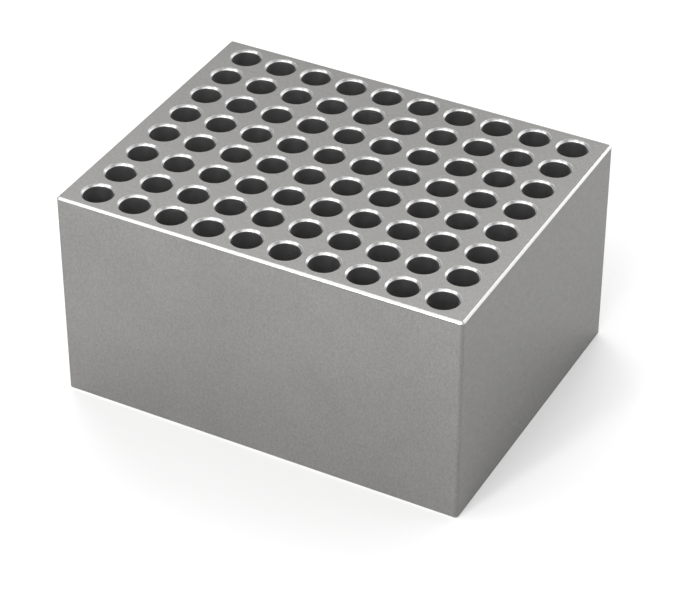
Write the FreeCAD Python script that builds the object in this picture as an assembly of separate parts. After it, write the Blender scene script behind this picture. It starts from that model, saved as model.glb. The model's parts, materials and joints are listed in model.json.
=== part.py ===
"""Heating block for small sample tubes: one solid block of machined aluminium.

The block stands on its flat underside. Its top holds a square grid of straight, blind, drilled wells,
one for each tube, and every well has a chamfered mouth. The upright corners of the block are slightly
rounded, and its top and bottom edges are broken with a small chamfer.

Millimetres. The origin is the centre of the underside, +Z is up, the long side runs along X.
"""
import FreeCAD
import Part
import math
import os

# The block
BLOCK_LENGTH = 95.2            # along X
BLOCK_WIDTH = 74.0             # along Y
BLOCK_HEIGHT = 50.5            # along Z
CORNER_RADIUS = 0.8            # upright corners
TOP_EDGE_BREAK = 0.42          # 45 degree chamfer round the top
BOTTOM_EDGE_BREAK = 0.3        # 45 degree chamfer round the underside

# The wells
WELL_PITCH = 9.0               # centre to centre, both ways: the spacing of joined tube strips
WELL_DIAMETER = 6.5
WELL_DEPTH = 17.0              # length of the straight wall and its mouth, down to the drill point
DRILL_POINT_ANGLE = 118.0      # full angle of the drill's cone, in degrees
MOUTH_BREAK = 0.45             # 45 degree chamfer at each mouth
LEAST_EDGE_WALL = 1.5          # least metal between a mouth and the block's side

NODE = "heating_block"
UP = FreeCAD.Vector(0, 0, 1)
OVERSHOOT = 1.0                # how far a cutting tool stands proud of the top

MOUTH_RADIUS = WELL_DIAMETER / 2 + MOUTH_BREAK
WELL_POINT_DEPTH = WELL_DIAMETER / 2 / math.tan(math.radians(DRILL_POINT_ANGLE / 2))


def wells_along(side):
    """How many wells fit along a side, with the least wall left at both ends."""
    room = side - 2 * (MOUTH_RADIUS + LEAST_EDGE_WALL)
    return int(room / WELL_PITCH) + 1


def centred_row(count):
    """Places of a row of wells, centred on the origin."""
    first = -(count - 1) * WELL_PITCH / 2
    return [first + i * WELL_PITCH for i in range(count)]


def edges_at_height(solid, height):
    """The edges that lie flat at one height."""
    tolerance = 1e-6
    found = []
    for edge in solid.Edges:
        box = edge.BoundBox
        if abs(box.ZMin - height) < tolerance and abs(box.ZMax - height) < tolerance:
            found.append(edge)
    return found


def upright_edges(solid):
    """The four upright edges of a plain block."""
    return [edge for edge in solid.Edges if edge.BoundBox.ZLength > BLOCK_HEIGHT / 2]


def make_billet():
    """The block before drilling: rounded corners, then the top and bottom edges broken."""
    corner = FreeCAD.Vector(-BLOCK_LENGTH / 2, -BLOCK_WIDTH / 2, 0)
    billet = Part.makeBox(BLOCK_LENGTH, BLOCK_WIDTH, BLOCK_HEIGHT, corner)
    billet = billet.makeFillet(CORNER_RADIUS, upright_edges(billet))
    billet = billet.makeChamfer(TOP_EDGE_BREAK, edges_at_height(billet, BLOCK_HEIGHT))
    return billet.makeChamfer(BOTTOM_EDGE_BREAK, edges_at_height(billet, 0.0))


def make_well_tool():
    """The form that one well removes, about the Z axis, with the block's top at its real height."""
    radius = WELL_DIAMETER / 2
    wall_bottom = BLOCK_HEIGHT - WELL_DEPTH
    profile = [
        FreeCAD.Vector(0, 0, wall_bottom - WELL_POINT_DEPTH),
        FreeCAD.Vector(radius, 0, wall_bottom),
        FreeCAD.Vector(radius, 0, BLOCK_HEIGHT - MOUTH_BREAK),
        FreeCAD.Vector(MOUTH_RADIUS + OVERSHOOT, 0, BLOCK_HEIGHT + OVERSHOOT),
        FreeCAD.Vector(0, 0, BLOCK_HEIGHT + OVERSHOOT),
    ]
    outline = Part.makePolygon(profile + [profile[0]])
    return Part.Face(outline).revolve(FreeCAD.Vector(0, 0, 0), UP, 360)


def make_block():
    """The finished block: the billet with a well at every place of the grid."""
    tool = make_well_tool()
    tools = []
    for x in centred_row(wells_along(BLOCK_LENGTH)):
        for y in centred_row(wells_along(BLOCK_WIDTH)):
            tools.append(tool.translated(FreeCAD.Vector(x, y, 0)))
    return make_billet().cut(tools)


def as_one_solid(shape):
    """The single solid inside a cut's result, checked."""
    solids = shape.Solids
    if len(solids) != 1 or not solids[0].isValid():
        raise ValueError("the block should be one valid solid, found %d" % len(solids))
    return solids[0]


os.makedirs("parts", exist_ok=True)
block = as_one_solid(make_block())
block.exportStep("parts/%s.step" % NODE)
print("%s: %d x %d wells, %.1f cm3" % (
    NODE, wells_along(BLOCK_LENGTH), wells_along(BLOCK_WIDTH), block.Volume / 1000))
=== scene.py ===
# %% [markdown]
# # A heating block for small sample tubes
# The object is one solid piece of aluminium. A billet is milled to a rectangular block, a square grid of
# blind wells is drilled into its top, and its edges are broken with small chamfers and rounds. It sits in a
# dry block heater and carries heat to the tubes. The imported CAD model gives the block's size and the place
# of every well, so the lesson starts by loading it.

# %% Load the fixed frame
import json
import math

import bmesh
import bpy
from mathutils import Matrix, Vector


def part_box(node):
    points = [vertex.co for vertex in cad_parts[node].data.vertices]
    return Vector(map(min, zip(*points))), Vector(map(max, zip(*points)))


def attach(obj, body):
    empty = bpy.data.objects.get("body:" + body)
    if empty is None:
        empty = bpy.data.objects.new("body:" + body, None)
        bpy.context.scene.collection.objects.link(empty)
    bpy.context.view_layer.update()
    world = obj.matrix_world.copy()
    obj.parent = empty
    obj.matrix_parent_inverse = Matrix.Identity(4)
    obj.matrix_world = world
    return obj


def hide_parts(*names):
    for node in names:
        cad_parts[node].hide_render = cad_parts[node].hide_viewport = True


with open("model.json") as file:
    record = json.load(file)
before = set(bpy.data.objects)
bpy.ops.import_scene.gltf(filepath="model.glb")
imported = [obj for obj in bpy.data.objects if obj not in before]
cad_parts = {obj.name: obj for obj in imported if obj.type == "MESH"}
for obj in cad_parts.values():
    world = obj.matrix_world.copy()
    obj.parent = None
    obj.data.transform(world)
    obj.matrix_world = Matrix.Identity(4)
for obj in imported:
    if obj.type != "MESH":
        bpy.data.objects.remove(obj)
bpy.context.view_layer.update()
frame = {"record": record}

MM = 0.001
CM = 10 * MM
block_low, block_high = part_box("heating_block")
block_size = block_high - block_low
block_middle = (block_low + block_high) / 2
print("block, mm:", [round(side / MM, 2) for side in block_size])

# %% [markdown]
# ## The camera
# A long lens from a moderate distance keeps the upright edges nearly parallel, so the block looks square
# and true. The camera stands off one corner and looks down, so that the top, the long front side and the
# short right side all show. It aims at a point close to the block's upright axis, a third of the way up.

# %% Place the camera
VIEW_AZIMUTH = math.radians(28.08)
VIEW_ELEVATION = math.radians(35.85)
VIEW_DISTANCE = 581 * MM
VIEW_LENS = 140.47               # focal length, in millimetres
AIM_HEIGHT = 16.94 * MM
AIM_TO_THE_LEFT = 0.17 * MM
NEAREST_SEEN = 10 * MM


def direction(azimuth, elevation):
    """The unit vector towards a place round the block. Azimuth 0 is the front, and 90 degrees the right."""
    level = math.cos(elevation)
    return Vector((math.sin(azimuth) * level, -math.cos(azimuth) * level, math.sin(elevation)))


def put_in_scene(name, data):
    """A new object for some data, linked to the scene."""
    thing = bpy.data.objects.new(name, data)
    bpy.context.scene.collection.objects.link(thing)
    return thing


def place_camera():
    """The camera, turned so that it looks along the view's axis."""
    towards = direction(VIEW_AZIMUTH, VIEW_ELEVATION)
    right = Vector((math.cos(VIEW_AZIMUTH), math.sin(VIEW_AZIMUTH), 0))
    aim = Vector((block_middle.x, block_middle.y, block_low.z + AIM_HEIGHT)) - right * AIM_TO_THE_LEFT
    lens = bpy.data.cameras.new("camera")
    lens.lens = VIEW_LENS
    lens.clip_start = NEAREST_SEEN
    camera = put_in_scene("camera", lens)
    camera.location = aim + towards * VIEW_DISTANCE
    camera.rotation_mode = "QUATERNION"
    camera.rotation_quaternion = towards.to_track_quat("Z", "Y")
    bpy.context.scene.camera = camera
    return camera


camera = place_camera()
print("camera at, mm:", [round(place / MM) for place in camera.location])

# %% [markdown]
# ## Where the wells are
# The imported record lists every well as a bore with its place, its radius and the length of its straight
# wall. Reading them there, and not typing them again, keeps this piece on the CAD model's grid.

# %% Read the wells from the record
wells = [mount for mount in frame["record"]["mounts"] if mount["kind"] == "bore"]
well_places = [Vector((well["pos_m"][0], well["pos_m"][1], 0)) for well in wells]
WELL_RADIUS = wells[0]["dims"]["r_mm"] * MM
WALL_LENGTH = wells[0]["dims"]["length_mm"] * MM
wall_top = wells[0]["pos_m"][2] + WALL_LENGTH / 2
MOUTH_BREAK = block_high.z - wall_top
TO_THE_MICRON = 6                # decimals of a metre
columns = sorted({round(place.x, TO_THE_MICRON) for place in well_places})
rows = sorted({round(place.y, TO_THE_MICRON) for place in well_places})
PITCH = columns[1] - columns[0]
print("wells:", len(columns), "x", len(rows), "pitch, mm:", round(PITCH / MM, 3))
print("mouth chamfer, mm:", round(MOUTH_BREAK / MM, 3))

# %% [markdown]
# ## One well
# Each well is a drilled hole: a conical mouth, a straight wall and the cone that the drill's point leaves.
# A hole could be cut with a Boolean, but its edges would then be left to chance. Here the outline of half a
# well is drawn as five points, the two corners of its mouth are rounded a little, as deburred edges are,
# and the outline is spun about the well's axis.

# %% Draw half a well and spin it
WELL_STEPS = 48
MOUTH_SOFTNESS = 0.02 * MM
SOFT_SEGMENTS = 2
DRILL_POINT_ANGLE = math.radians(118)
WELD = 0.001 * MM
UP = Vector((0, 0, 1))


def half_outline(bm):
    """The outline of half a well in the XZ plane, from the rim down to the tip of the drill point."""
    wall_foot = wall_top - WALL_LENGTH
    tip = wall_foot - WELL_RADIUS / math.tan(DRILL_POINT_ANGLE / 2)
    corners = [
        (WELL_RADIUS + MOUTH_BREAK + 2 * MOUTH_SOFTNESS, block_high.z),
        (WELL_RADIUS + MOUTH_BREAK, block_high.z),
        (WELL_RADIUS, wall_top),
        (WELL_RADIUS, wall_foot),
        (0, tip),
    ]
    points = [bm.verts.new((radius, 0, height)) for radius, height in corners]
    for upper, lower in zip(points, points[1:]):
        bm.edges.new((upper, lower))
    return points


def spin_well(bm):
    """The well's surface, with the two edges of its chamfered mouth softened."""
    points = half_outline(bm)
    bmesh.ops.bevel(
        bm, geom=points[1:3], offset=MOUTH_SOFTNESS, offset_type="OFFSET", affect="VERTICES",
        segments=SOFT_SEGMENTS, profile=0.5, material=-1)
    bmesh.ops.spin(
        bm, geom=bm.verts[:] + bm.edges[:], cent=(0, 0, 0), axis=UP, angle=math.tau,
        steps=WELL_STEPS, use_merge=True)
    bmesh.ops.remove_doubles(bm, verts=bm.verts[:], dist=WELD)


tile = bmesh.new()
spin_well(tile)
print("one well:", len(tile.verts), "points,", len(tile.faces), "faces")

# %% [markdown]
# ## The land round a well
# A square of flat land, one pitch wide, is bridged to the well's rim, so that the squares of neighbouring
# wells share their edges and weld into one clean top. A bridge between two loops at one height with one
# centre can't tell which way it runs, so the square starts a millimetre above the rim and comes down to it
# once they are joined.

# %% Bridge the land to the rim
HELD_ABOVE = MM


def add_land(bm):
    """A square of flat land, one pitch wide, joined to the well's rim."""
    rim = [edge for edge in bm.edges if edge.is_boundary]
    above = Matrix.Translation(UP * (block_high.z + HELD_ABOVE)) @ Matrix.Rotation(math.pi / 4, 4, "Z")
    bmesh.ops.create_circle(bm, segments=4, radius=PITCH / math.sqrt(2), matrix=above)
    sides = [edge for edge in bm.edges if edge.is_wire]
    bmesh.ops.subdivide_edges(bm, edges=sides, cuts=WELL_STEPS // 4 - 1)
    square = [edge for edge in bm.edges if edge.is_wire]
    raised = {point for edge in square for point in edge.verts}
    bmesh.ops.bridge_loops(bm, edges=square + rim)
    bmesh.ops.translate(bm, verts=list(raised), vec=-HELD_ABOVE * UP)


add_land(tile)
print("one well and its land:", len(tile.verts), "points,", len(tile.faces), "faces")

# %% [markdown]
# ## Three finishes on one piece
# The block is one solid, but its tools leave three kinds of surface: satin faces, bright cut chamfers and
# drilled walls. Each face gets the number of its finish as soon as it is made, while it is still easy to
# tell what cut it: a face that leans is a chamfer, and whatever lies under a well's mouth was drilled.

# %% Number the finishes
SATIN, CUT, DRILLED = range(3)
UPRIGHT = 0.05                   # an upright face's normal climbs less than this
LEVEL = 0.98                     # a level face's normal climbs more than this


def leans(face):
    """True for a face that is neither level nor upright."""
    return UPRIGHT < abs(face.normal.z) < LEVEL


def number_finishes(bm, floor_of_mouth):
    """Satin faces and cut chamfers, and drilled walls below the height given."""
    bm.normal_update()
    for face in bm.faces:
        face.smooth = True
        face.material_index = CUT if leans(face) else SATIN
        if face.calc_center_median().z < floor_of_mouth:
            face.material_index = DRILLED


number_finishes(tile, wall_top)
print("faces by finish:", [sum(f.material_index == kind for f in tile.faces) for kind in range(3)])

# %% [markdown]
# ## The grid of wells
# The first tile moves to the first well. One row of copies is made along X, and then the whole row is
# copied along Y, as a drilling machine steps across the billet. The squares' shared edges are welded.

# %% Copy the tile over the grid
def repeat(bm, step, count):
    """Copies of everything in the mesh, each one step further on."""
    original = bm.verts[:] + bm.edges[:] + bm.faces[:]
    for index in range(1, count):
        made = bmesh.ops.duplicate(bm, geom=original)["geom"]
        points = [part for part in made if isinstance(part, bmesh.types.BMVert)]
        bmesh.ops.translate(bm, verts=points, vec=step * index)


bmesh.ops.translate(tile, verts=tile.verts, vec=Vector((columns[0], rows[0], 0)))
repeat(tile, Vector((PITCH, 0, 0)), len(columns))
repeat(tile, Vector((0, PITCH, 0)), len(rows))
bmesh.ops.remove_doubles(tile, verts=tile.verts, dist=WELD)
print("drilled top:", len(tile.faces), "faces")

# %% [markdown]
# ## The billet
# The rest of the block starts as a box of the CAD node's own size. Its upright edges are rounded, the edges
# round the top and the underside are chamfered, and every edge that is still sharp is softened by a few
# hundredths of a millimetre, because a perfectly sharp edge never catches the light. The record doesn't
# list the radius and the chamfers, so they are given here as the CAD model has them.

# %% Shape the billet
CORNER_RADIUS = 0.8 * MM
CORNER_SEGMENTS = 8
TOP_EDGE_BREAK = 0.42 * MM
BOTTOM_EDGE_BREAK = 0.3 * MM
EDGE_SOFTNESS = 0.05 * MM
SHARP = math.radians(30)


def break_edges(bm, edges, size, segments):
    """A flat chamfer with one segment, or a round with more."""
    bmesh.ops.bevel(
        bm, geom=edges, offset=size, offset_type="OFFSET", affect="EDGES",
        segments=segments, profile=0.5, material=-1)


def edges_at(bm, height):
    """The edges that lie flat at one height."""
    return [edge for edge in bm.edges if all(abs(v.co.z - height) < WELD for v in edge.verts)]


def shape_billet():
    """The block before drilling."""
    bm = bmesh.new()
    place = Matrix.Translation(block_middle) @ Matrix.Diagonal((*block_size, 1))
    bmesh.ops.create_cube(bm, size=1, matrix=place)
    upright = [edge for edge in bm.edges if abs(edge.verts[0].co.z - edge.verts[1].co.z) > MM]
    break_edges(bm, upright, CORNER_RADIUS, CORNER_SEGMENTS)
    break_edges(bm, edges_at(bm, block_high.z), TOP_EDGE_BREAK, 1)
    break_edges(bm, edges_at(bm, block_low.z), BOTTOM_EDGE_BREAK, 1)
    sharp = [edge for edge in bm.edges if edge.calc_face_angle() > SHARP]
    break_edges(bm, sharp, EDGE_SOFTNESS, SOFT_SEGMENTS)
    return bm


billet = shape_billet()
number_finishes(billet, block_low.z)
print("billet:", len(billet.faces), "faces")

# %% [markdown]
# ## One closed solid
# The billet's flat top is taken off, and the ring between its edge and the drilled top is filled. Then the
# mesh is a single watertight shell, as the real block is a single piece of metal. An open edge would be a
# hole in it, so the open edges are counted, and the volume is printed.

# %% Join the drilled top to the billet
def add_mesh(bm, other):
    """Everything in another mesh, added to this one."""
    carrier = bpy.data.meshes.new("carrier")
    other.to_mesh(carrier)
    bm.from_mesh(carrier)
    bpy.data.meshes.remove(carrier)


def fit_top(bm, top):
    """Takes the flat top off the billet and fits the drilled one in its place."""
    lid = max(bm.faces, key=lambda face: face.calc_center_median().z)
    bmesh.ops.delete(bm, geom=[lid], context="FACES_ONLY")
    add_mesh(bm, top)
    rims = [edge for edge in bm.edges if edge.is_boundary]
    filled = bmesh.ops.triangle_fill(bm, use_beauty=True, use_dissolve=False, edges=rims, normal=UP)
    for part in filled["geom"]:
        if isinstance(part, bmesh.types.BMFace):
            part.smooth = True
            part.material_index = SATIN
    bmesh.ops.recalc_face_normals(bm, faces=bm.faces)


fit_top(billet, tile)
print("open edges left:", sum(not edge.is_manifold for edge in billet.edges))
print("volume, cm3:", round(billet.calc_volume() / CM ** 3, 2))

# %% [markdown]
# ## The finished piece
# Smooth shading blends the normals of neighbouring faces, and beside a narrow round that would bend the
# light on a wide flat face. A Weighted Normal modifier lets the larger face rule, so flat faces stay flat.
# The piece then rides on the part's one body, and stands for the plain CAD node.

# %% Make the piece
LARGER_FACE_RULES = 100


def make_piece(name, bm):
    """A finished piece at the origin."""
    mesh = bpy.data.meshes.new(name)
    bm.to_mesh(mesh)
    piece = put_in_scene(name, mesh)
    piece.modifiers.new("even_shading", "WEIGHTED_NORMAL").weight = LARGER_FACE_RULES
    return piece


block = make_piece("tube_block", billet)
for spent in (tile, billet):
    spent.free()
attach(block, "root")
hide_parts("heating_block")
print("piece:", block.name, "with", len(block.data.polygons), "faces")

# %% [markdown]
# ## Writing a finish
# A finish is a small network of nodes. Written out node by node it is hard to read, so one class wraps a
# socket and turns sums on it into Math nodes, and one method adds every other kind of node.

# %% A socket that does sums
class Wire:
    """An output of a node. Sums with numbers or other wires add the Math nodes that work them out."""

    def __init__(self, finish, socket):
        self.finish = finish
        self.socket = socket

    def sum(self, operation, first, second):
        sockets = {"Value": first, "Value_001": second}
        return self.finish.node("ShaderNodeMath", {"operation": operation}, sockets, "Value")

    def __add__(self, other):
        return self.sum("ADD", self, other)

    def __radd__(self, other):
        return self.sum("ADD", other, self)

    def __sub__(self, other):
        return self.sum("SUBTRACT", self, other)

    def __rsub__(self, other):
        return self.sum("SUBTRACT", other, self)

    def __mul__(self, other):
        return self.sum("MULTIPLY", self, other)

    def __rmul__(self, other):
        return self.sum("MULTIPLY", other, self)


# %% A finish under construction
NOISE_ROUGHNESS = 0.6


class Finish:
    """A material, and the one way in which its nodes are added."""

    def __init__(self, name):
        self.material = bpy.data.materials.new(name)
        self.material.use_nodes = True
        self.tree = self.material.node_tree
        self.shader = self.tree.nodes["Principled BSDF"]

    def feed(self, node, sockets):
        """Gives a node's sockets their values or links, by identifier."""
        inputs = {socket.identifier: socket for socket in node.inputs}
        for name, value in sockets.items():
            if isinstance(value, Wire):
                self.tree.links.new(value.socket, inputs[name])
            else:
                inputs[name].default_value = value

    def node(self, kind, settings, sockets, output):
        """A new node, its settings first and then its sockets. Returns the wire of one output."""
        node = self.tree.nodes.new(kind)
        for name, value in settings.items():
            setattr(node, name, value)
        self.feed(node, sockets)
        return Wire(self, next(socket for socket in node.outputs if socket.identifier == output))

    def place(self):
        """The place on the piece, in millimetres."""
        raw = self.node("ShaderNodeTexCoord", {}, {}, "Object")
        return self.stretch(raw, (1 / MM, 1 / MM, 1 / MM))

    def stretch(self, where, scale):
        """A place scaled along each axis. A larger scale makes a pattern finer that way."""
        return self.node("ShaderNodeMapping", {}, {"Vector": where, "Scale": scale}, "Vector")

    def noise(self, where, scale=1.0, detail=2):
        """Noise from 0 to 1 about 0.5, with so many features to the millimetre."""
        sockets = {"Vector": where, "Scale": scale, "Detail": detail, "Roughness": NOISE_ROUGHNESS}
        return self.node("ShaderNodeTexNoise", {}, sockets, "Fac")

    def blend(self, factor, dark, light):
        """A colour between two others."""
        sockets = {"Factor_Float": factor, "A_Color": (*dark, 1), "B_Color": (*light, 1)}
        return self.node("ShaderNodeMix", {"data_type": "RGBA"}, sockets, "Result_Color")

    def bump(self, height, depth):
        """A bumped normal from a height between 0 and 1, so many metres deep."""
        sockets = {"Height": height, "Strength": 1.0, "Distance": depth}
        return self.node("ShaderNodeBump", {}, sockets, "Normal")


# %% [markdown]
# ## Satin faces
# The faces are milled and then finely blasted, which leaves a matt grey with a fine grain. The grain is a
# third to half a millimetre across, and drawn out to about one along Y, the way the last milling passes ran.
# It shows as a slight speckle in the colour, and as a bump far too shallow to model. Slow clouds, one or two
# centimetres across, keep a large face from looking painted. Grain and clouds are added up in shares, and
# the sum is shifted back, so that it still swings about the middle between the dark and the light grey.

# %% Satin finish
SATIN_DARK = (0.136, 0.134, 0.130)
SATIN_LIGHT = (0.259, 0.256, 0.249)
SATIN_ROUGHNESS = 0.39
SATIN_UNEVENNESS = 0.06
GRAIN_STRETCH = (1.4, 0.45, 0.9)
GRAIN_SCALE = 2.2
GRAIN_DEPTH = 0.001 * MM
GRAIN_SHARE = 0.95
CLOUD_SCALE = 0.06
CLOUD_SHARE = 0.2
BACK_TO_THE_MIDDLE = 0.075


def satin_finish():
    """Finely blasted aluminium."""
    finish = Finish("satin_aluminium")
    where = finish.place()
    grain = finish.noise(finish.stretch(where, GRAIN_STRETCH), GRAIN_SCALE)
    clouds = finish.noise(where, CLOUD_SCALE, detail=3)
    tone = grain * GRAIN_SHARE + clouds * CLOUD_SHARE - BACK_TO_THE_MIDDLE
    finish.feed(finish.shader, {
        "Base Color": finish.blend(tone, SATIN_DARK, SATIN_LIGHT),
        "Metallic": 1.0,
        "Roughness": clouds * SATIN_UNEVENNESS + SATIN_ROUGHNESS,
        "Normal": finish.bump(grain, GRAIN_DEPTH),
    })
    return finish.material


satin = satin_finish()
print(satin.name, "nodes:", len(satin.node_tree.nodes))

# %% [markdown]
# ## Cut chamfers
# A chamfer is cut last, by a sharp tool, and stays bright. The tool leaves fine lines that run along the
# chamfer. On an edge of the block and round a mouth alike, each such line keeps to one height. So one
# pattern is right on both: a noise squeezed upwards and drawn out sideways, which changes quickly with
# height and hardly at all along an edge.

# %% Cut finish
LINE_UNEVENNESS = 0.1


def lined_finish(name, dark, light, stretch, roughness, depth):
    """Bare aluminium with fine level lines, so many metres deep."""
    finish = Finish(name)
    lines = finish.noise(finish.stretch(finish.place(), stretch))
    finish.feed(finish.shader, {
        "Base Color": finish.blend(lines, dark, light),
        "Metallic": 1.0,
        "Roughness": lines * LINE_UNEVENNESS + roughness,
        "Normal": finish.bump(lines, depth),
    })
    return finish.material


cut = lined_finish(
    "cut_aluminium", dark=(0.49, 0.49, 0.49), light=(0.65, 0.65, 0.65),
    stretch=(0.05, 0.05, 12), roughness=0.2, depth=0.001 * MM)
print(cut.name, "nodes:", len(cut.node_tree.nodes))

# %% [markdown]
# ## Drilled walls
# A drill leaves faint rings down the wall, which are level lines too, coarser and deeper than a chamfer's,
# and the wall is a little duller than a chamfer. Most of the darkness of a well is no colour at all: light
# that goes in is thrown on downwards from wall to wall.

# %% Drilled finish
drilled = lined_finish(
    "drilled_aluminium", dark=(0.46, 0.46, 0.46), light=(0.58, 0.58, 0.58),
    stretch=(0.3, 0.3, 6), roughness=0.33, depth=0.004 * MM)
print(drilled.name, "nodes:", len(drilled.node_tree.nodes))

# %% [markdown]
# ## Giving the piece its finishes
# A face's number picks a slot of the piece, so the three materials go into its slots in the order of the
# numbers: satin, cut, drilled.

# %% Fill the slots
for material in (satin, cut, drilled):
    block.data.materials.append(material)
print("slots:", [material.name for material in block.data.materials])

# %% [markdown]
# ## The floor
# The block stands on a pale matt sheet, far larger than the block, so that no edge of it comes near. Besides
# catching the shadow, the sheet throws light back up onto the sides.

# %% Lay the floor
FLOOR_HALF_SIDE = 4
FLOOR_COLOR = (0.9, 0.9, 0.9, 1)
FLOOR_ROUGHNESS = 0.9


def make_floor():
    """A pale sheet under the block."""
    bm = bmesh.new()
    bmesh.ops.create_grid(bm, x_segments=1, y_segments=1, size=FLOOR_HALF_SIDE)
    print("floor reaches, m:", max(corner.co.x for corner in bm.verts))
    mesh = bpy.data.meshes.new("floor")
    bm.to_mesh(mesh)
    bm.free()
    finish = Finish("pale_sheet")
    finish.feed(finish.shader, {"Base Color": FLOOR_COLOR, "Roughness": FLOOR_ROUGHNESS})
    mesh.materials.append(finish.material)
    return put_in_scene("floor", mesh)


make_floor()

# %% [markdown]
# ## The panels
# Bare metal shows what stands round it, so each kind of surface needs something bright where it reflects.
# Round soft panels do that. The two low ones in front light the front side and the upper walls of the wells.
# The high ones in front and to either side of it whiten the front chamfer and the far side of every mouth.
# The rim panels, behind on the right, do the same for the right chamfer and the left side of every mouth.
# Those at the back give the flat top its sheen.

# %% Hang the panels
def hang_panel(name, azimuth, elevation, power, distance=0.8, width=0.45):
    """A round soft panel that faces the block. It lights the scene, and isn't seen itself."""
    towards = direction(math.radians(azimuth), math.radians(elevation))
    lamp = bpy.data.lights.new(name, "AREA")
    lamp.shape = "DISK"
    lamp.size = width
    lamp.energy = power
    panel = put_in_scene(name, lamp)
    panel.location = block_middle + towards * distance
    panel.rotation_mode = "QUATERNION"
    panel.rotation_quaternion = towards.to_track_quat("Z", "Y")
    panel.visible_camera = False


hang_panel("low_front_panel", azimuth=-15, elevation=5, power=22.5, distance=1.6, width=0.25)
hang_panel("front_panel", azimuth=0, elevation=20, power=1.8)
hang_panel("high_front_panel", azimuth=0, elevation=48, power=1.28)
hang_panel("high_left_panel", azimuth=-50, elevation=40, power=0.88)
hang_panel("high_right_panel", azimuth=45, elevation=48, power=0.54)
hang_panel("near_rim_panel", azimuth=120, elevation=34, power=0.33)
hang_panel("low_rim_panel", azimuth=140, elevation=20, power=0.41)
hang_panel("far_rim_panel", azimuth=158, elevation=14, power=0.92, distance=1.3, width=0.6)
hang_panel("back_panel", azimuth=180, elevation=48, power=1.75)
hang_panel("back_left_panel", azimuth=-135, elevation=48, power=1.41)
print("panels:", len(bpy.data.lights))

# %% [markdown]
# ## The room
# White light from all round fills the shadows, as the walls of a pale room do. The Standard view shows the
# tones as they are worked out, with no contrast curve added, so a pale floor stays pale.

# %% Light the room
ROOM_COLOR = (1, 1, 1, 1)
ROOM_LIGHT = 0.6
world = bpy.data.worlds.new("studio")
world.use_nodes = True
surroundings = world.node_tree.nodes["Background"]
surroundings.inputs["Color"].default_value = ROOM_COLOR
surroundings.inputs["Strength"].default_value = ROOM_LIGHT
bpy.context.scene.world = world
bpy.context.scene.view_settings.view_transform = "Standard"
print("world:", world.name, "view:", bpy.context.scene.view_settings.view_transform)
